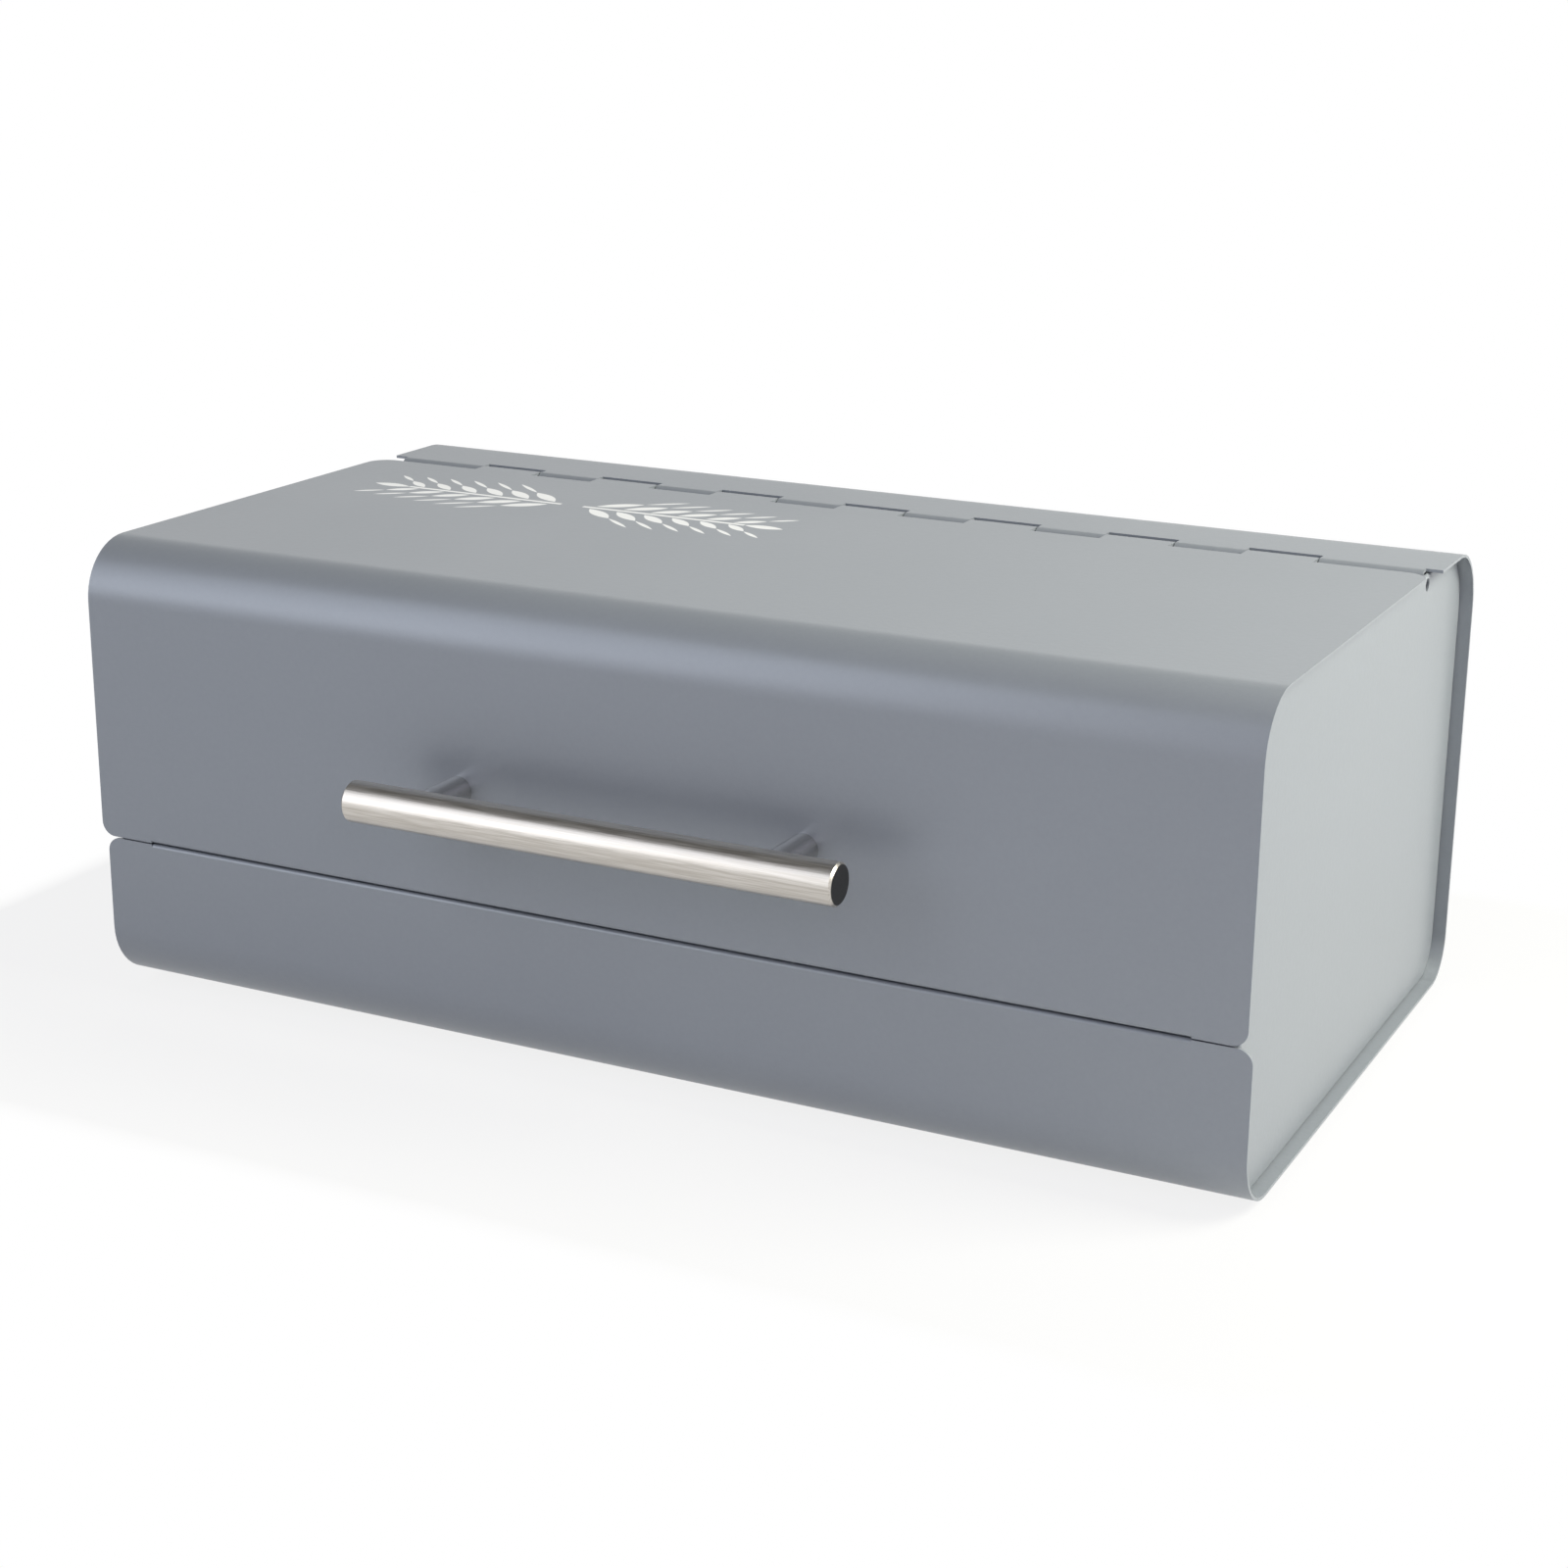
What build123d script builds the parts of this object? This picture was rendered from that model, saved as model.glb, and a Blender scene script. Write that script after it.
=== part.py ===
from build123d import *
import os

# Bread box of folded sheet steel, in millimetres. +X is to the right, +Y to the back, +Z up.
# The origin lies under the middle of the footprint, handle included, on the surface it stands on.

# Box
body_width = 330
body_depth = 184
body_height = 126
front_top_radius = 16
front_bottom_radius = 17
rear_bottom_radius = 12
rear_top_radius = 18
shell_sheet = 0.8

# Split between the base and the lid, measured from the underside of the shell
split_height = 43.2
split_gap = 0.4
split_corner_radius = 4
fold_depth = 7
fold_end_inset = 15
fold_inner_radius = 0.2

# Lid
lid_sheet = 0.8
lid_extra_width = 0.2
lid_shift = -1.6
lid_rear_corner_radius = 6.5

# End panels
panel_sheet = 0.7
panel_recess = 3.5
panel_seat_gap = 0.05
panel_lid_gap = 0.3
panel_bend_radius = 1.0
panel_depth = 8
panel_step_drop = 6
flange_relief = 1.0
flange_hinge_clearance = 12
rod_hole_radius = 1.8

# Hinge
hinge_from_back = 39.5
rod_radius = 1.5
rod_clearance = 0.05
rod_end_gap = 6
curl_gap = 0.85
strip_from_hinge = 3.4
lid_from_hinge = 5.2
base_knuckle_bend_radius = 3.0
lid_knuckle_bend_radius = 2.2
knuckle_gap = 0.3
end_knuckle_width = 28.7
end_knuckle_gap = 0.2
middle_knuckles = 13
strip_end_from_hinge = 1.5

# Handle
handle_x = 0.5
handle_height = 73.75
handle_length = 137.5
handle_reach = 19.6
handle_overhang = 19.25
bar_radius = 5.4
bar_chamfer = 0.6
post_radius = 4
handle_seat_gap = 0.05

# Fasteners
thread_radius = 2.0
thread_clearance = 0.05
lid_hole_radius = 2.25
screw_depth = 6.5
stud_in_bar = 6
stud_in_post = 5
blind_end_gap = 0.5
washer_radius = 4.5
washer_thickness = 0.8
screw_head_radius = 3.9
screw_head_height = 2.4
screw_head_rounding = 1.0
cross_width = 0.9
cross_length = 4.4
cross_depth = 1.4

# Feet and lid bumpers
foot_radius = 7
foot_height = 2.5
foot_chamfer = 0.5
foot_inset = 32
bumper_radius = 2.5
bumper_height = 0.3
bumper_inset = 45
bumper_from_front = 4.2

# Places that follow from the sizes above
bar_front_reach = handle_reach + bar_radius
front_y = bar_front_reach - (body_depth + bar_front_reach) / 2
back_y = front_y + body_depth
base_z = foot_height
top_z = base_z + body_height
half_width = body_width / 2
split_low = base_z + split_height
split_high = split_low + split_gap
fold_half_length = half_width - fold_end_inset
lid_width = body_width + lid_extra_width
lid_left = lid_shift - lid_width / 2
plate_outer_x = half_width - panel_recess
plate_inner_x = plate_outer_x - panel_sheet
knuckle_bore_radius = rod_radius + rod_clearance
knuckle_radius = knuckle_bore_radius + shell_sheet
hinge_y = back_y - hinge_from_back
hinge_z = top_z - shell_sheet - curl_gap - knuckle_radius
strip_edge_y = hinge_y + strip_from_hinge
lid_edge_y = hinge_y - lid_from_hinge
strip_end_y = hinge_y + strip_end_from_hinge
knuckle_end_x = plate_inner_x - end_knuckle_gap
knuckle_pitch = 2 * (knuckle_end_x - end_knuckle_width) / middle_knuckles
last_knuckle = (middle_knuckles + 1) // 2
bar_y = front_y - handle_reach
bar_z = base_z + handle_height
handle_spacing = handle_length - 2 * handle_overhang
sides = {"left": -1, "right": 1}
post_x = {name: handle_x + side * handle_spacing / 2 for name, side in sides.items()}


def outline(inset, mode=Mode.ADD):
    """The box seen from its end, inset from the outer faces, in the sketch being drawn."""
    low_y, high_y = front_y + inset, back_y - inset
    low_z, high_z = base_z + inset, top_z - inset
    corners = {
        (low_y, low_z): front_bottom_radius,
        (high_y, low_z): rear_bottom_radius,
        (high_y, high_z): rear_top_radius,
        (low_y, high_z): front_top_radius,
    }
    with BuildSketch(Plane.XY, mode=Mode.PRIVATE) as shape:
        with BuildLine():
            Polyline(*corners, close=True)
        make_face()
        for corner, radius in corners.items():
            fillet(shape.vertices().sort_by_distance(corner)[0], radius - inset)
    add(shape.sketch, mode=mode)


def area(y_1, z_1, y_2, z_2, mode=Mode.ADD):
    """A rectangle between two corners, in the sketch being drawn."""
    with Locations(((y_1 + y_2) / 2, (z_1 + z_2) / 2)):
        Rectangle(abs(y_2 - y_1), abs(z_2 - z_1), mode=mode)


def lid_window(low_z, rear_y, mode):
    """The part of the end view that the lid covers, from a height up and from a depth forward."""
    area(front_y - 1, low_z, rear_y, top_z + 1, mode=mode)


def fold(sketch, edge_z, inward_z, sheet):
    """Fold the front wall's edge into the box: a flange, with both corners of the bend rounded."""
    area(front_y, edge_z, front_y + fold_depth, edge_z + inward_z * sheet)
    outer = (front_y, edge_z)
    inner = (front_y + sheet, edge_z + inward_z * sheet)
    fillet(sketch.vertices().sort_by_distance(outer)[0], fold_inner_radius + sheet)
    fillet(sketch.vertices().sort_by_distance(inner)[0], fold_inner_radius)


def knuckle_section(sketch, toward, edge_y, sheet, bend_radius):
    """One curled hinge tab: flat to the nose, down, and three quarters round the rod."""
    nose_y = hinge_y + toward * knuckle_radius
    with Locations((hinge_y, hinge_z)):
        Circle(knuckle_radius)
        Circle(knuckle_bore_radius, mode=Mode.SUBTRACT)
    area(nose_y, hinge_z, hinge_y, hinge_z + knuckle_radius, mode=Mode.SUBTRACT)
    area(nose_y, hinge_z, nose_y - toward * sheet, top_z)
    area(nose_y, top_z, edge_y, top_z - sheet)
    outer = (nose_y, top_z)
    inner = (nose_y - toward * sheet, top_z - sheet)
    fillet(sketch.vertices().sort_by_distance(outer)[0], bend_radius)
    fillet(sketch.vertices().sort_by_distance(inner)[0], bend_radius - sheet)


def knuckle_span(index):
    """Left and right X of one hinge tab, counted from the middle one."""
    left, right = (index - 0.5) * knuckle_pitch, (index + 0.5) * knuckle_pitch
    if index == -last_knuckle:
        left = -knuckle_end_x
    if index == last_knuckle:
        right = knuckle_end_x
    return left + knuckle_gap / 2, right - knuckle_gap / 2


base_knuckles = range(-last_knuckle, last_knuckle + 1, 2)
lid_knuckles = range(1 - last_knuckle, last_knuckle, 2)

# Shell of the base: one sheet from the split edge, under the box, up the back and over to the hinge
shell_stretches = [
    (-half_width, -fold_half_length, False),
    (-fold_half_length, fold_half_length, True),
    (fold_half_length, half_width, False),
]
with BuildPart() as body_shell:
    for left, right, folded in shell_stretches:
        with BuildSketch(Plane.YZ.offset(left)) as section:
            outline(0)
            outline(shell_sheet, mode=Mode.SUBTRACT)
            lid_window(split_low, strip_edge_y, Mode.SUBTRACT)
            if folded:
                fold(section, split_low, -1, shell_sheet)
        extrude(amount=right - left)
    for index in base_knuckles:
        left, right = knuckle_span(index)
        with BuildSketch(Plane.YZ.offset(left)) as section:
            knuckle_section(section, -1, strip_edge_y, shell_sheet, base_knuckle_bend_radius)
        extrude(amount=right - left)
    for side in sides.values():
        start_x = side * (knuckle_end_x - knuckle_gap / 2)
        with BuildSketch(Plane.YZ.offset(start_x)):
            area(strip_end_y, top_z - shell_sheet, strip_edge_y, top_z)
        extrude(amount=side * half_width - start_x)
    split_edges = body_shell.edges().filter_by(Axis.Y)
    split_edges = split_edges.filter_by_position(Axis.Z, split_low - 0.01, split_low + 0.01)
    split_edges = split_edges.sort_by(Axis.X)
    fillet([split_edges[0], split_edges[-1]], split_corner_radius)

# Lid: one sheet from the hinge, over the front bend and down to the split
lid_stretches = [
    (lid_left, -fold_half_length, False),
    (-fold_half_length, fold_half_length, True),
    (fold_half_length, lid_left + lid_width, False),
]
with BuildPart() as lid:
    for left, right, folded in lid_stretches:
        with BuildSketch(Plane.YZ.offset(left)) as section:
            outline(0)
            outline(lid_sheet, mode=Mode.SUBTRACT)
            lid_window(split_high, lid_edge_y, Mode.INTERSECT)
            if folded:
                fold(section, split_high, 1, lid_sheet)
        extrude(amount=right - left)
    for index in lid_knuckles:
        left, right = knuckle_span(index)
        with BuildSketch(Plane.YZ.offset(left)) as section:
            knuckle_section(section, 1, lid_edge_y, lid_sheet, lid_knuckle_bend_radius)
        extrude(amount=right - left)
    split_edges = lid.edges().filter_by(Axis.Y)
    split_edges = split_edges.filter_by_position(Axis.Z, split_high - 0.01, split_high + 0.01)
    split_edges = split_edges.sort_by(Axis.X)
    fillet([split_edges[0], split_edges[-1]], split_corner_radius)
    rear_edges = lid.edges().filter_by(Axis.Z)
    rear_edges = rear_edges.filter_by_position(Axis.Y, lid_edge_y - 0.01, lid_edge_y + 0.01)
    rear_edges = rear_edges.sort_by(Axis.X)
    fillet([rear_edges[0], rear_edges[-1]], lid_rear_corner_radius)
    with BuildSketch(Plane.XZ.offset(-front_y - lid_sheet)):
        with Locations(*[(x, bar_z) for x in post_x.values()]):
            Circle(lid_hole_radius)
    extrude(amount=lid_sheet, mode=Mode.SUBTRACT)


def end_pan(side, inset):
    """A pan as deep as an end panel: its plate and a flange all round, inset from the shell."""
    with BuildPart() as pan:
        with BuildSketch(Plane.YZ.offset(side * plate_outer_x)):
            outline(inset)
        extrude(amount=-side * panel_depth)
        outer_x = side * plate_outer_x
        bend_edges = pan.edges().filter_by_position(Axis.X, outer_x - 0.01, outer_x + 0.01)
        fillet(bend_edges, panel_bend_radius)
        with BuildSketch(Plane.YZ.offset(side * plate_inner_x)):
            outline(inset + panel_sheet)
        extrude(amount=-side * (panel_depth - panel_sheet), mode=Mode.SUBTRACT)
        inner_x = side * plate_inner_x
        bend_edges = pan.edges().filter_by_position(Axis.X, inner_x - 0.01, inner_x + 0.01)
        fillet(bend_edges, panel_bend_radius - panel_sheet)
    return pan.part


def end_panel(side):
    """Pressed end panel: a pan against the shell, set further in where the lid comes down."""
    step_z = split_low - panel_step_drop
    with BuildPart() as under_lid:
        with BuildSketch(Plane.YZ.offset(side * plate_outer_x)):
            lid_window(step_z, strip_edge_y, Mode.ADD)
        extrude(amount=-side * panel_depth)
    with BuildPart() as lid_side:
        add(end_pan(side, lid_sheet + panel_lid_gap))
        add(under_lid.part, mode=Mode.INTERSECT)
    with BuildPart() as panel:
        add(end_pan(side, shell_sheet + panel_seat_gap))
        add(under_lid.part, mode=Mode.SUBTRACT)
        add(lid_side.part)
        with BuildSketch(Plane.YZ.offset(side * plate_inner_x)):
            area(front_y, step_z, front_y + panel_depth, step_z + flange_relief)
            area(hinge_y - flange_hinge_clearance, hinge_z, strip_edge_y, top_z)
        extrude(amount=-side * (panel_depth - panel_sheet), mode=Mode.SUBTRACT)
        with BuildSketch(Plane.YZ.offset(side * plate_outer_x)):
            with Locations((hinge_y, hinge_z)):
                Circle(rod_hole_radius)
        extrude(amount=-side * panel_sheet, mode=Mode.SUBTRACT)
    return panel.part


panels = {f"end_panel_{name}": end_panel(side) for name, side in sides.items()}

# Hinge rod through the curled tabs, ending inside the outermost ones
rod_half_length = plate_inner_x - rod_end_gap
with BuildPart() as hinge_rod:
    with BuildSketch(Plane.YZ.offset(-rod_half_length)):
        with Locations((hinge_y, hinge_z)):
            Circle(rod_radius)
    extrude(amount=2 * rod_half_length)

# Handle: a turned bar on two posts, each post joined to the bar by a stud
bar_hole_y = bar_y + bar_radius - stud_in_bar - blind_end_gap
with BuildPart() as handle_bar:
    with BuildSketch(Plane.YZ.offset(handle_x - handle_length / 2)):
        with Locations((bar_y, bar_z)):
            Circle(bar_radius)
    extrude(amount=handle_length)
    chamfer(handle_bar.edges().filter_by(GeomType.CIRCLE), bar_chamfer)
    with BuildSketch(Plane.XZ.offset(-bar_y - bar_radius)):
        with Locations(*[(x, bar_z) for x in post_x.values()]):
            Circle(thread_radius)
    extrude(amount=bar_y + bar_radius - bar_hole_y, mode=Mode.SUBTRACT)


def handle_post(x):
    """Round post from the lid to the bar, with a saddle end and a blind hole in each end."""
    stud_hole_y = bar_y + bar_radius + stud_in_post + blind_end_gap
    with BuildPart() as post:
        with BuildSketch(Plane.XZ.offset(-front_y)):
            with Locations((x, bar_z)):
                Circle(post_radius)
        extrude(amount=handle_reach)
        with BuildSketch(Plane.YZ.offset(x - 2 * post_radius)):
            with Locations((bar_y, bar_z)):
                Circle(bar_radius + handle_seat_gap)
        extrude(amount=4 * post_radius, mode=Mode.SUBTRACT)
        with BuildSketch(Plane.XZ.offset(-stud_hole_y)):
            with Locations((x, bar_z)):
                Circle(thread_radius)
        extrude(amount=stud_hole_y - bar_y, mode=Mode.SUBTRACT)
        with BuildSketch(Plane.XZ.offset(-front_y)):
            with Locations((x, bar_z)):
                Circle(thread_radius)
        extrude(amount=screw_depth + blind_end_gap, mode=Mode.SUBTRACT)
    return post.part


posts = {f"handle_post_{name}": handle_post(post_x[name]) for name in sides}

with BuildPart() as handle_studs:
    with BuildSketch(Plane.XZ.offset(-bar_y - bar_radius - stud_in_post)):
        with Locations(*[(x, bar_z) for x in post_x.values()]):
            Circle(thread_radius - thread_clearance)
    extrude(amount=stud_in_post + stud_in_bar)

# Screws and washers that hold the posts from inside the lid
washer_y = front_y + lid_sheet
head_y = washer_y + washer_thickness
with BuildPart() as handle_washers:
    with BuildSketch(Plane.XZ.offset(-head_y)):
        with Locations(*[(x, bar_z) for x in post_x.values()]):
            Circle(washer_radius)
            Circle(lid_hole_radius, mode=Mode.SUBTRACT)
    extrude(amount=washer_thickness)

with BuildPart() as handle_screws:
    with BuildSketch(Plane.XZ.offset(-head_y - screw_head_height)):
        with Locations(*[(x, bar_z) for x in post_x.values()]):
            Circle(screw_head_radius)
    extrude(amount=screw_head_height)
    head_edges = handle_screws.edges().filter_by(GeomType.CIRCLE).group_by(Axis.Y)[-1]
    fillet(head_edges, screw_head_rounding)
    with BuildSketch(Plane.XZ.offset(-head_y)):
        with Locations(*[(x, bar_z) for x in post_x.values()]):
            Circle(thread_radius - thread_clearance)
    extrude(amount=head_y - front_y + screw_depth)
    with BuildSketch(Plane.XZ.offset(-head_y - screw_head_height)):
        with Locations(*[(x, bar_z) for x in post_x.values()]):
            Rectangle(cross_width, cross_length)
            Rectangle(cross_length, cross_width)
    extrude(amount=cross_depth, mode=Mode.SUBTRACT)


def foot(x, y):
    """Low round rubber foot, chamfered where it meets the surface."""
    with BuildPart() as pad:
        with BuildSketch():
            with Locations((x, y)):
                Circle(foot_radius)
        extrude(amount=foot_height)
        chamfer(pad.edges().filter_by(GeomType.CIRCLE).group_by(Axis.Z)[0], foot_chamfer)
    return pad.part


def lid_bumper(x):
    """Thin rubber dot on the base's fold, which the closed lid comes down on."""
    with BuildPart() as dot:
        with BuildSketch(Plane.XY.offset(split_low)):
            with Locations((x, front_y + bumper_from_front)):
                Circle(bumper_radius)
        extrude(amount=bumper_height)
    return dot.part


foot_rows = {"front": front_y + foot_inset, "rear": back_y - foot_inset}
foot_x = half_width - foot_inset
feet = {
    f"foot_{row}_{name}": foot(side * foot_x, y)
    for row, y in foot_rows.items()
    for name, side in sides.items()
}
bumper_x = half_width - bumper_inset
bumpers = {f"lid_bumper_{name}": lid_bumper(side * bumper_x) for name, side in sides.items()}

pieces = {
    "body_shell": body_shell.part,
    **panels,
    "hinge_rod": hinge_rod.part,
    **feet,
    **bumpers,
    "lid": lid.part,
    "handle_bar": handle_bar.part,
    **posts,
    "handle_studs": handle_studs.part,
    "handle_washers": handle_washers.part,
    "handle_screws": handle_screws.part,
}
os.makedirs("parts", exist_ok=True)
for name, piece in pieces.items():
    piece.label = name
    export_step(piece, f"parts/{name}.step")
    print(name, len(piece.solids()), "solid(s), volume", round(piece.volume), "mm3")
print("hinge axis at y", hinge_y, "z", hinge_z)
print("front y", front_y, "back y", back_y, "bar y", bar_y, "z", bar_z)
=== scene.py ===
# %% [markdown]
# # A folded steel bread box with a hinged lid
#
# The box stands on a table: one folded sheet makes the low front, the bottom, the back and the
# strip over the hinge, two pressed panels close the ends, and a second folded sheet is the lid.
# Its shape is settled in the CAD model, so this lesson loads that model as a fixed frame and
# spends its effort on paint, metal, rounded sheet edges, light and camera.

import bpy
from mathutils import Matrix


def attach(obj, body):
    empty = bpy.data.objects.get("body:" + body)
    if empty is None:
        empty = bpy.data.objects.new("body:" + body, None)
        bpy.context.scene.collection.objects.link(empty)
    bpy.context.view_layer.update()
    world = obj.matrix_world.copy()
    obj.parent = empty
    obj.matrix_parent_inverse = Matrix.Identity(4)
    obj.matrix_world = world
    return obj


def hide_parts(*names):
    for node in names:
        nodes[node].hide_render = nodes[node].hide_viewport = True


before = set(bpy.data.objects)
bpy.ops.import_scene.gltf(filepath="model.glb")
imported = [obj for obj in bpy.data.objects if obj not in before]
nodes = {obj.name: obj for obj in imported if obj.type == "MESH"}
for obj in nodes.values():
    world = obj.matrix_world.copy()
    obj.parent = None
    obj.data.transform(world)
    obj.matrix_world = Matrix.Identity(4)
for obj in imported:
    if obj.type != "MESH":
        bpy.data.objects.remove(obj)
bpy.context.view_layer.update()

# %% Blender's own modules and the scene
import math

import bmesh
import bpy
from mathutils import Matrix, Vector

scene = bpy.context.scene
scene.view_settings.view_transform = "Standard"
MM = 0.001

# %% [markdown]
# ## Shader maths as plain expressions
#
# A printed pattern or a grain is a formula of the place on the piece. Wiring a formula by hand
# takes dozens of Math nodes, which are hard to read. The class below wraps one socket of a node
# tree, so that `1 - mask` or `a * b + c` adds the Math nodes by itself. Every other kind of node
# comes from its method `node`: the settings are set first, then the values or links.


# %% A socket that does arithmetic
class Socket:
    """One output socket of a material's nodes, on which Python's operators add Math nodes."""

    def __init__(self, tree, socket):
        self.tree = tree
        self.socket = socket

    def put(self, slot, value):
        """Sets an input socket, or links it when the value is a socket too."""
        if isinstance(value, Socket):
            self.tree.links.new(value.socket, slot)
        else:
            slot.default_value = value

    def node(self, kind, settings, values, output=0):
        """Any node: its type, its settings, and the values of its named sockets."""
        made = self.tree.nodes.new(kind)
        for name, value in settings.items():
            setattr(made, name, value)
        for name, value in values.items():
            self.put([s for s in made.inputs if s.enabled and s.name == name][0], value)
        return Socket(self.tree, made.outputs[output])

    def maths(self, operation, *values):
        """A Math node of some values, each one a number or a socket."""
        made = self.tree.nodes.new("ShaderNodeMath")
        made.operation = operation
        for slot, value in zip(made.inputs, values):
            self.put(slot, value)
        return Socket(self.tree, made.outputs[0])

    def __add__(self, other):
        return self.maths("ADD", self, other)

    def __sub__(self, other):
        return self.maths("SUBTRACT", self, other)

    def __rsub__(self, other):
        return self.maths("SUBTRACT", other, self)

    def __mul__(self, other):
        return self.maths("MULTIPLY", self, other)

    def __abs__(self):
        return self.maths("ABSOLUTE", self)

    __radd__ = __add__
    __rmul__ = __mul__

    def highest(self, other):
        """The larger of two values."""
        return self.maths("MAXIMUM", self, other)

    def step(self, start, end):
        """0 below start, 1 above end, with a smooth rise between them."""
        settings = {"interpolation_type": "SMOOTHSTEP"}
        values = {"Value": self, "From Min": start, "From Max": end}
        return self.node("ShaderNodeMapRange", settings, values)

    def axes(self):
        """The three numbers of a vector, each as a socket."""
        parts = self.tree.nodes.new("ShaderNodeSeparateXYZ")
        self.put(parts.inputs[0], self)
        return [Socket(self.tree, out) for out in parts.outputs]


print("a Socket knows", sum(callable(f) for f in vars(Socket).values()), "operations")

# %% [markdown]
# ## One way to start every finish
#
# Each finish is one Principled BSDF and a place on the piece. The place is in Object coordinates:
# every piece has its place in its mesh, so they are measured from the origin under the box, stay
# on a piece when it turns on its hinge, and need no unwrapping. A Mapping node turns metres into
# millimetres, because grain, print and wear are all known in millimetres.


# %% Start a finish
def new_finish(name, colour=(0.8, 0.8, 0.8), roughness=0.5, metallic=0.0):
    """A new material: itself, its Principled BSDF, and the place on the piece in millimetres."""
    material = bpy.data.materials.new(name)
    material.use_nodes = True
    tree = material.node_tree
    shader = tree.nodes["Principled BSDF"]
    shader.inputs["Base Color"].default_value = (*colour, 1)
    shader.inputs["Roughness"].default_value = roughness
    shader.inputs["Metallic"].default_value = metallic
    metres = Socket(tree, tree.nodes.new("ShaderNodeTexCoord").outputs["Object"])
    return material, shader, stretched(metres, (1 / MM,) * 3)


def stretched(place, scale):
    """The place with each axis multiplied by a number."""
    return place.node("ShaderNodeMapping", {}, {"Vector": place, "Scale": scale})


def feed(shader, name, value):
    """Links a value to one socket of the Principled BSDF."""
    value.put(shader.inputs[name], value)


# %% [markdown]
# Three helpers do the rest: noise with a grain size in millimetres, a colour between two others,
# and a bump. A Mix node blends the colours, because a Math node would turn them grey.


# %% Noise, tint and bump
def noise(place, size, detail=2.0):
    """Noise whose grains are about size millimetres wide; a size for each axis stretches them."""
    sizes = size if isinstance(size, tuple) else (size,) * 3
    where = stretched(place, tuple(1 / s for s in sizes))
    values = {"Vector": where, "Scale": 1.0, "Detail": detail}
    return place.node("ShaderNodeTexNoise", {}, values)


def tint(factor, dark, light):
    """A colour between two; each is three numbers or another colour's socket."""
    ends = [c if isinstance(c, Socket) else (*c, 1) for c in (dark, light)]
    values = {"Factor": factor, "A": ends[0], "B": ends[1]}
    return factor.node("ShaderNodeMix", {"data_type": "RGBA"}, values, output=2)


def bump(height, depth):
    """A Bump node for a height between 0 and 1, with its full depth in millimetres."""
    return height.node("ShaderNodeBump", {}, {"Height": height, "Distance": depth * MM})


# %% [markdown]
# ## Satin powder coat
#
# The sheets are powder coated in one blue-grey. Molten powder flows out into a skin with a faint
# orange peel, some 1.5 mm from crest to crest, and a much finer grain. Both are far too shallow
# to model, so they are bump. A slow drift of tone and gloss keeps the wide sheets alive. The coat
# is a quarter metallic, as one with metal flake is: its bends show soft bands of light and dark.

# %% Powder coat
PAINT = (0.254, 0.276, 0.307)
PEEL_SIZE, GRAIN_SIZE, CLOUD_SIZE = 1.5, 0.35, 60.0
PEEL_DEPTH = 0.045


def powder_coat(name):
    """The blue-grey coat: the material, its shader, the place and its colour."""
    material, shader, place = new_finish(name, metallic=0.25)
    peel = noise(place, PEEL_SIZE)
    grain = noise(place, GRAIN_SIZE)
    cloud = noise(place, CLOUD_SIZE)
    darker, lighter = (tuple(c * f for c in PAINT) for f in (0.93, 1.07))
    colour = tint(cloud * 0.25 + peel * 0.45 + grain * 0.3, darker, lighter)
    feed(shader, "Roughness", cloud * 0.06 + 0.34)
    feed(shader, "Normal", bump(peel * 0.7 + grain * 0.3, PEEL_DEPTH))
    return material, shader, place, colour


coat, shader, place, colour = powder_coat("powder_coat")
feed(shader, "Base Color", colour)
print("powder coat:", len(coat.node_tree.nodes), "nodes")

# %% [markdown]
# ## The white print on the lid
#
# The rear left of the lid's top carries a flat white print, here a plain pair of wheat ears, as
# on any bakery bag. Ink has no thickness to speak of, so it isn't a mesh but a mask in the
# paint. The place is folded twice, left to right and across the stems, which leaves one half of
# one ear to draw; each grain is a lens with pointed ends. Its edge is soft by 0.12 mm, so that
# it doesn't look like steps from close by.


# %% Print helpers
SOFT = 0.12


def turned(along, across, degrees):
    """The two coordinates as seen from an axis turned by an angle."""
    c, s = math.cos(math.radians(degrees)), math.sin(math.radians(degrees))
    return along * c + across * s, across * c - along * s


def grain_mark(along, across, length, height):
    """1 inside a lens with pointed ends, centred on zero, and 0 outside."""
    share = along * (2 / length)
    rim = (1 - share * share) * (height / 2)
    return (rim - abs(across)).step(-SOFT, SOFT)


# %% The wheat ears
PRINT_X, PRINT_Y, LID_TOP = -78.0, 27.5, 128.5
GRAINS, GRAIN_PITCH, GRAIN_ANGLE = 6, 8.6, 38
GRAIN_LENGTH, GRAIN_HEIGHT, AWN_LENGTH, AWN_HEIGHT = 14, 4.2, 13, 1.5
STEM_START, STEM_END, STEM_HALF = 3.5, 56.0, 0.75
INK = (0.82, 0.83, 0.83)

print_coat, shader, place, colour = powder_coat("powder_coat_with_print")
x, y, z = place.axes()
along, across = abs(x - PRINT_X), abs(y - PRINT_Y)
stem = (STEM_HALF - across).step(-SOFT, SOFT)
mask = stem * (along - STEM_START).step(0, 2 * SOFT) * (STEM_END - along).step(0, 2 * SOFT)
for index in range(GRAINS):
    size = 1 - 0.06 * index
    u = along - (STEM_START + 9 + GRAIN_PITCH * index)
    grain = turned(u, across - 6.2 * size, GRAIN_ANGLE)
    mask = mask.highest(grain_mark(*grain, GRAIN_LENGTH * size, GRAIN_HEIGHT * size))
    awn = turned(u - 11 * size, across - 14.8 * size, GRAIN_ANGLE)
    mask = mask.highest(grain_mark(*awn, AWN_LENGTH * size, AWN_HEIGHT))
mask = mask.highest(grain_mark(along - (STEM_END + 6), across, 12, 4))
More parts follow.
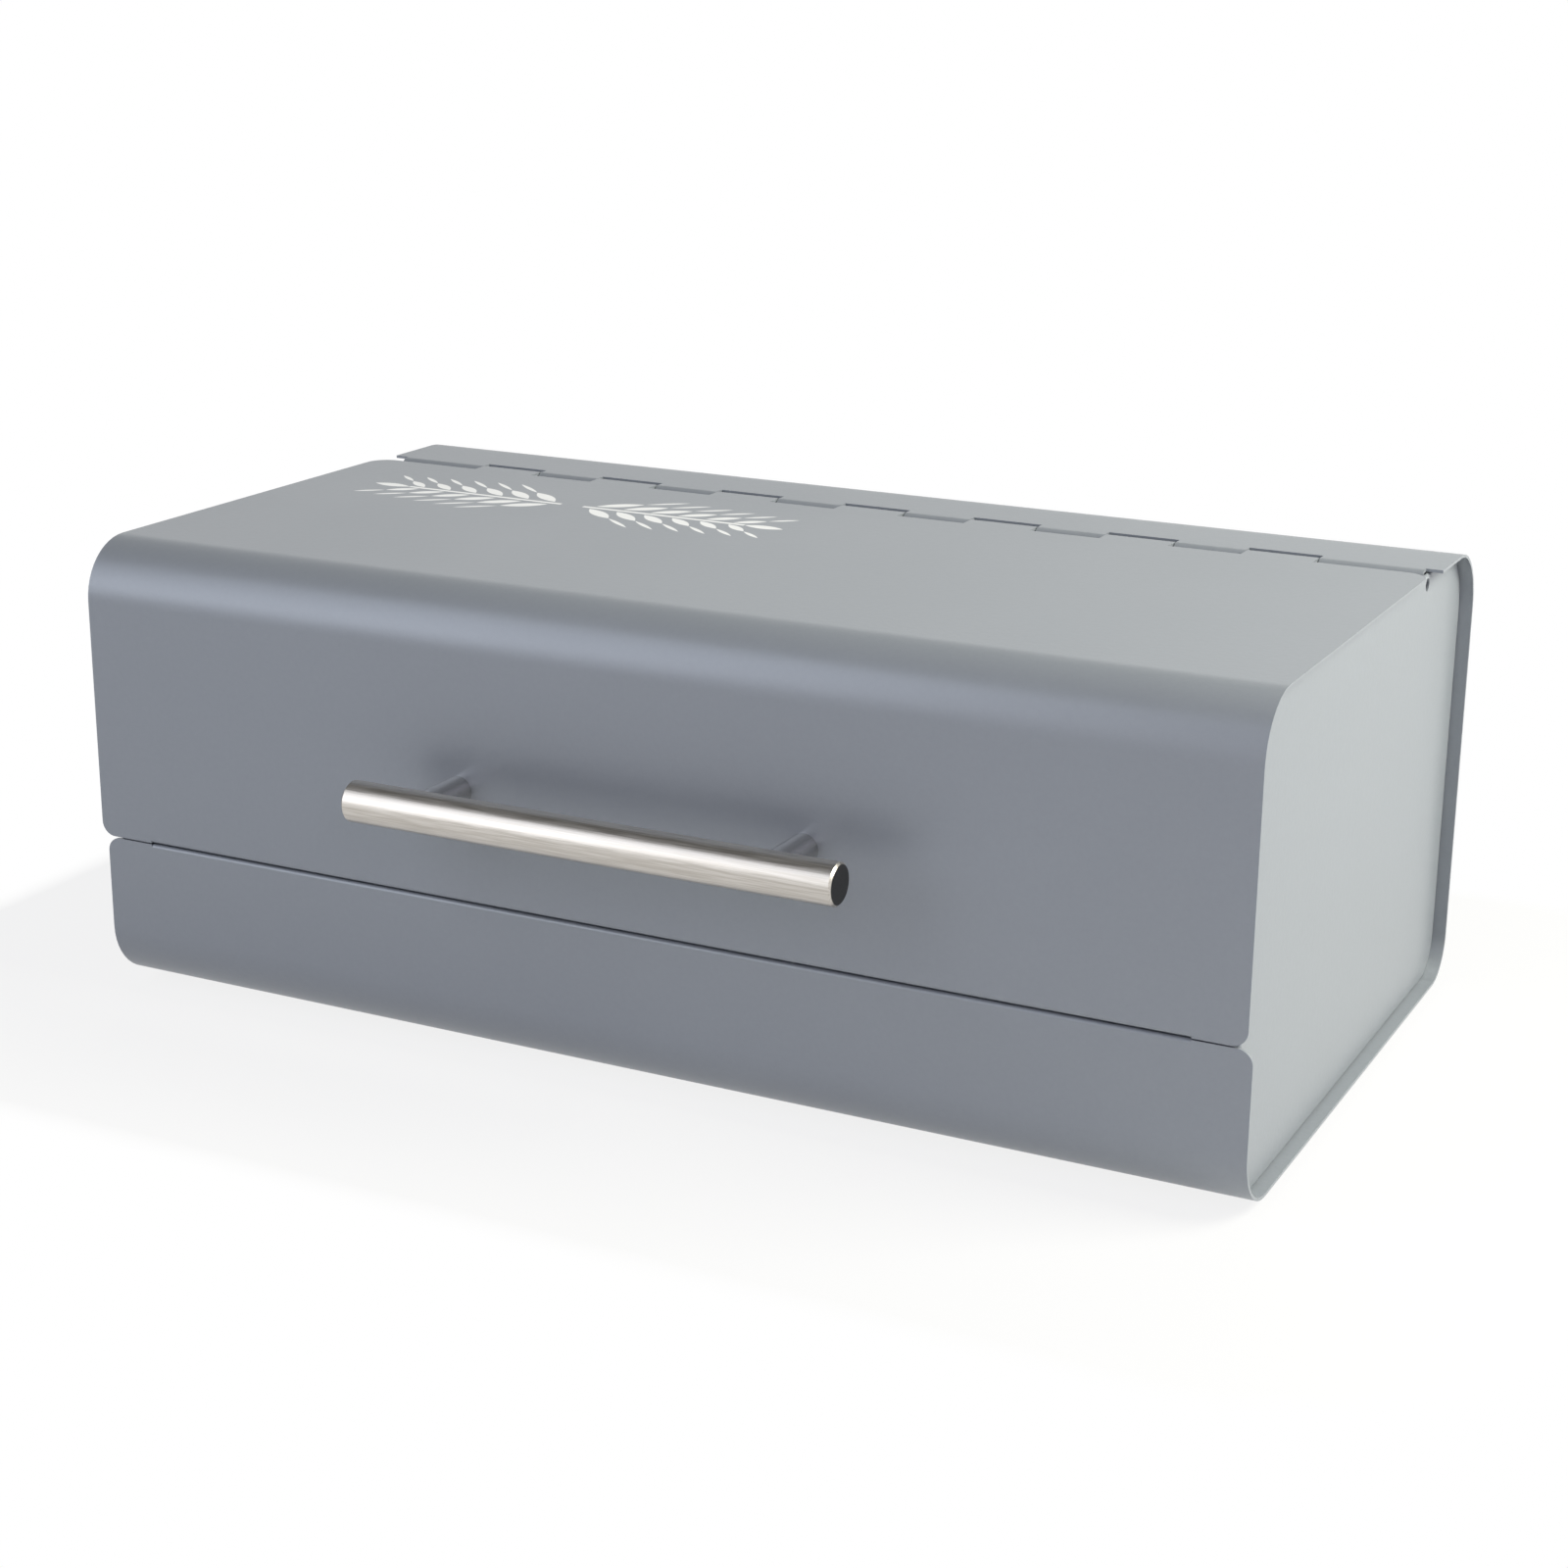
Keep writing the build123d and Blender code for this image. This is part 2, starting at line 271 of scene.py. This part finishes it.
mask = mask * z.step(LID_TOP - 0.2, LID_TOP - 0.1)
feed(shader, "Base Color", tint(mask, colour, INK))
print("the stems reach", STEM_END, "mm each side of x", PRINT_X)

# %% [markdown]
# ## Brushed bar, plated posts and small metal
#
# The bar is stainless steel, brushed along its length: long scratches, soft across the bar. The
# grain is noise stretched forty times along x, used for roughness, tone and bump. Its two cut
# faces are painted near black, a painted shade for the dark room that they mirror. The posts are
# turned and nickel plated, glossy with the finest rings round them. The hinge wire is drawn steel
# and the fasteners are zinc plated, duller and a little cloudy.

# %% Brushed bar
BAR_MIDDLE, BAR_HALF = 0.5, 68.75
brushed, shader, place = new_finish("brushed_stainless", metallic=1.0)
fine = noise(place, (12.0, 0.3, 0.3), detail=3.0)
broad = noise(place, (40.0, 1.2, 1.2))
streaks = fine.step(0.35, 0.65)
steel = tint(streaks * 0.7 + broad * 0.3, (0.44, 0.41, 0.37), (0.62, 0.59, 0.55))
x, y, z = place.axes()
# Painted shade: the two cut end faces get a near black colour that stands in for the dark room they
# mirror.
painted_end_shade = abs(x - BAR_MIDDLE).step(BAR_HALF - 0.15, BAR_HALF - 0.05)
feed(shader, "Base Color", tint(painted_end_shade, steel, (0.1, 0.095, 0.09)))
feed(shader, "Roughness", streaks * 0.1 + 0.3)
feed(shader, "Normal", bump(fine, 0.012))
print("the bar is", 2 * BAR_HALF, "mm long")

# %% Plated post
plated, shader, place = new_finish("polished_nickel", (0.62, 0.61, 0.59), metallic=1.0)
rings = noise(place, (6.0, 0.3, 6.0), detail=1.0)
feed(shader, "Roughness", rings * 0.1 + 0.15)
feed(shader, "Normal", bump(rings, 0.03))

# %% Zinc plate and hinge wire
zinc, shader, place = new_finish("zinc_plate", metallic=1.0)
cloud = noise(place, 3.0, detail=3.0)
feed(shader, "Base Color", tint(cloud, (0.52, 0.52, 0.49), (0.68, 0.68, 0.66)))
feed(shader, "Roughness", cloud * 0.2 + 0.24)
wire, shader, place = new_finish("drawn_wire", (0.5, 0.5, 0.49), metallic=1.0)
drawn = noise(place, (20.0, 0.3, 0.3), detail=3.0)
feed(shader, "Roughness", drawn * 0.2 + 0.22)
feed(shader, "Normal", bump(drawn, 0.01))

# %% [markdown]
# ## Rubber
#
# Feet and bumpers are matt black rubber. Moulded rubber is never truly black: it is a very dark
# grey with a dusty, finely pitted skin.

# %% Rubber
rubber, shader, place = new_finish("black_rubber", roughness=0.72)
pits = noise(place, 0.5, detail=3.0)
feed(shader, "Base Color", tint(pits, (0.02, 0.02, 0.021), (0.04, 0.04, 0.041)))
feed(shader, "Normal", bump(pits, 0.03))
print("finishes:", [m.name for m in bpy.data.materials if m.use_nodes])

# %% [markdown]
# ## Rounded sheet edges
#
# Sheared sheet is deburred and coated, so its edges are round by a quarter of a millimetre, and
# each catches a thin line of light. The CAD solids have sharp edges there. A Bevel modifier would
# work on the imported loose triangles, and fail. So the sheet pieces are copied, the copy's
# corners are merged, its flat triangles are joined into whole faces, and the outer edges are
# bevelled. The copy stands for the node and moves with the same body.


# %% Round the edges of a sheet piece
FLAT, SHARP, CREASE = (math.radians(a) for a in (0.3, 50, 40))


def rounded_sheet(node, body, material, radius=0.25):
    """A copy of a CAD sheet piece with its sharp outer edges rounded, which replaces the node."""
    bm = bmesh.new()
    bm.from_mesh(nodes[node].data)
    bmesh.ops.remove_doubles(bm, verts=bm.verts, dist=0.0001 * MM)
    bmesh.ops.dissolve_limit(bm, angle_limit=FLAT, verts=bm.verts, edges=bm.edges)
    edges = [e for e in bm.edges if e.is_convex and e.calc_face_angle(0) > SHARP]
    bmesh.ops.bevel(
        bm,
        geom=edges,
        affect="EDGES",
        offset=radius * MM,
        offset_type="OFFSET",
        segments=3,
        profile=0.5,
        material=-1,
        clamp_overlap=True,
    )
    for face in bm.faces:
        face.smooth = True
    mesh = bpy.data.meshes.new(node + "_rounded")
    bm.to_mesh(mesh)
    bm.free()
    for name in ("custom_normal", "sharp_edge", "sharp_face"):
        if name in mesh.attributes:
            mesh.attributes.remove(mesh.attributes[name])
    mesh.set_sharp_from_angle(angle=CREASE)
    mesh.materials.clear()
    mesh.materials.append(material)
    piece = bpy.data.objects.new(node + "_rounded", mesh)
    scene.collection.objects.link(piece)
    even = piece.modifiers.new("even_shading", "WEIGHTED_NORMAL")
    even.keep_sharp = True
    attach(piece, body)
    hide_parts(node)
    print(node, "edges rounded:", len(edges), "faces:", len(mesh.polygons))
    return piece


rounded_sheet("body_shell", "base", coat)
rounded_sheet("lid", "lid", print_coat)
for side in ("left", "right"):
    rounded_sheet(f"end_panel_{side}", "base", coat)

# %% [markdown]
# ## Finishes on the CAD pieces that stay
#
# The turned and moulded pieces already have the right shape, so they only get a finish.

# %% Assign the finishes
FINISHES = {
    "hinge_rod": wire,
    "handle_bar": brushed,
    "handle_post": plated,
    "handle_studs": zinc,
    "handle_washers": zinc,
    "handle_screws": zinc,
    "foot": rubber,
    "lid_bumper": rubber,
}
for start, material in FINISHES.items():
    for name in [n for n in nodes if n.startswith(start)]:
        nodes[name].data.materials.clear()
        nodes[name].data.materials.append(material)
        print(name, "is", material.name)

# %% [markdown]
# ## Floor and backdrop
#
# The studio is white paper. The floor is one flat sheet. Close to the box it is pale and takes the
# box's shadow; from 85 mm beside the box it is plain white, as the backdrop is. The white is only
# for rays from the camera, or that reach the lens by a mirror or glass: it is no lamp. The distance
# to the box's outline comes from the part of x and y that lies outside it.


# %% The floor
def seen_directly(tree):
    """1 for rays from the camera, a mirror or glass, and 0 for rays that gather light."""
    path = tree.nodes.new("ShaderNodeLightPath")
    rays = [Socket(tree, path.outputs[f"Is {kind} Ray"]) for kind in ("Camera", "Glossy")]
    return rays[0].highest(rays[1]).highest(Socket(tree, path.outputs["Is Transmission Ray"]))


bm = bmesh.new()
bmesh.ops.create_grid(bm, x_segments=1, y_segments=1, size=6.0)
floor_mesh = bpy.data.meshes.new("paper_floor")
bm.to_mesh(floor_mesh)
bm.free()
floor = bpy.data.objects.new("paper_floor", floor_mesh)
scene.collection.objects.link(floor)

# %% The floor's paper
HALF_WIDTH, HALF_DEPTH, MIDDLE_Y = 165, 92, 12
FADE, LIFT = 85, 0.84
paper, shader, place = new_finish("white_paper", (0.62, 0.62, 0.62), roughness=0.9)
tree = paper.node_tree
shader.inputs["Specular IOR Level"].default_value = 0.0
x, y, z = place.axes()
beside = (abs(x) - HALF_WIDTH).highest(0)
before = (abs(y - MIDDLE_Y) - HALF_DEPTH).highest(0)
squared = beside * beside + before * before
whiteness = squared.step(0, FADE * FADE).highest(LIFT) * seen_directly(tree)
floor_mesh.materials.append(paper)

# %% Paper and white blended
glow = tree.nodes.new("ShaderNodeEmission")
blend = tree.nodes.new("ShaderNodeMixShader")
whiteness.put(blend.inputs[0], whiteness)
tree.links.new(shader.outputs[0], blend.inputs[1])
tree.links.new(glow.outputs[0], blend.inputs[2])
tree.links.new(blend.outputs[0], tree.nodes["Material Output"].inputs["Surface"])
print("the floor is white from", FADE, "mm beside the box")

# %% [markdown]
# ## The sky of the studio
#
# The bend of the lid and the bar mirror the room, and the photograph shows what they see: white
# paper low down, a darker ceiling above, and bright softboxes. The world gives the first two. For
# rays that gather light it is one dim colour all round, and for the camera it is plain white.

# %% The world
world = bpy.data.worlds.new("studio")
world.use_nodes = True
scene.world = world
tree = world.node_tree
direction = Socket(tree, tree.nodes.new("ShaderNodeTexCoord").outputs["Generated"])
path = tree.nodes.new("ShaderNodeLightPath")
from_camera = Socket(tree, path.outputs["Is Camera Ray"])
ceiling = direction.axes()[2].step(0.3, 0.62) * (1 - from_camera)
room = tint(ceiling, (1, 1, 1), (0.16, 0.16, 0.16))
AMBIENT = 0.26
light = tint(seen_directly(tree), (AMBIENT, AMBIENT * 0.98, AMBIENT * 1.08), room)
light.put(tree.nodes["Background"].inputs["Color"], light)
print("ambient light", AMBIENT)

# %% [markdown]
# ## Softboxes
#
# Blender's area lamps are set in watts, but a softbox is easier to judge by its brightness, where
# 1 is white paper in full light. The helper turns brightness into watts for the lamp's size. A tall
# soft one at the front left lights the front and draws the pale band on the bend, a small one at
# the front right adds a touch of violet, and a warm one at the right lights the top and the end.


# %% Softbox helper
def softbox(name, place, aim, width, height, brightness, colour=(1, 1, 1)):
    """An area lamp at a place, turned to an aim point, with a brightness where 1 is white."""
    lamp = bpy.data.lights.new(name, "AREA")
    lamp.shape = "RECTANGLE"
    lamp.size, lamp.size_y = width, height
    lamp.energy = brightness * math.pi * width * height
    lamp.color = colour
    thing = bpy.data.objects.new(name, lamp)
    thing.location = place
    thing.rotation_euler = (Vector(aim) - Vector(place)).to_track_quat("-Z", "Y").to_euler()
    scene.collection.objects.link(thing)
    print(name, "watts:", round(lamp.energy, 1))


softbox(
    "softbox_front_left",
    (-0.74, -0.95, 0.72),
    (0, -0.05, 0.08),
    0.8,
    1.2,
    2.15,
    (0.95, 0.99, 1.08),
)
softbox(
    "softbox_front_right",
    (0.44, -0.6, 0.44),
    (0.14, -0.25, 0.0),
    0.3,
    0.3,
    1.6,
    (1.0, 0.88, 1.16),
)
softbox(
    "softbox_right", (0.76, 0.12, 0.66), (0.16, 0.02, 0.12), 0.5, 0.45, 19.8, (1.04, 1.03, 0.89)
)

# %% [markdown]
# ## Camera
#
# The camera's place and lens come from a perspective fit of the box's own edges: 26.6 degrees to
# the right of the front, 17.3 degrees above it, and 0.8 m from the origin.

# %% Camera
AZIMUTH, ELEVATION, ROLL = (math.radians(a) for a in (26.585, 17.306, 0.511))
camera = bpy.data.cameras.new("camera")
camera.sensor_width = 36.0
camera.lens = 65.416
camera.clip_start = 0.01
back = Vector(
    (
        math.sin(AZIMUTH) * math.cos(ELEVATION),
        -math.cos(AZIMUTH) * math.cos(ELEVATION),
        math.sin(ELEVATION),
    )
)
right = Vector((math.cos(AZIMUTH), math.sin(AZIMUTH), 0))
up = back.cross(right)
right, up = (
    right * math.cos(ROLL) + up * math.sin(ROLL),
    up * math.cos(ROLL) - right * math.sin(ROLL),
)
view = bpy.data.objects.new("camera", camera)
turn = Matrix((right, up, back)).transposed().to_4x4()
view.matrix_world = Matrix.Translation(Vector((338.38, -666.65, 296.47)) * MM) @ turn
scene.collection.objects.link(view)
scene.camera = view
print("camera at", [round(c, 3) for c in view.location])

# %% [markdown]
# ## The end
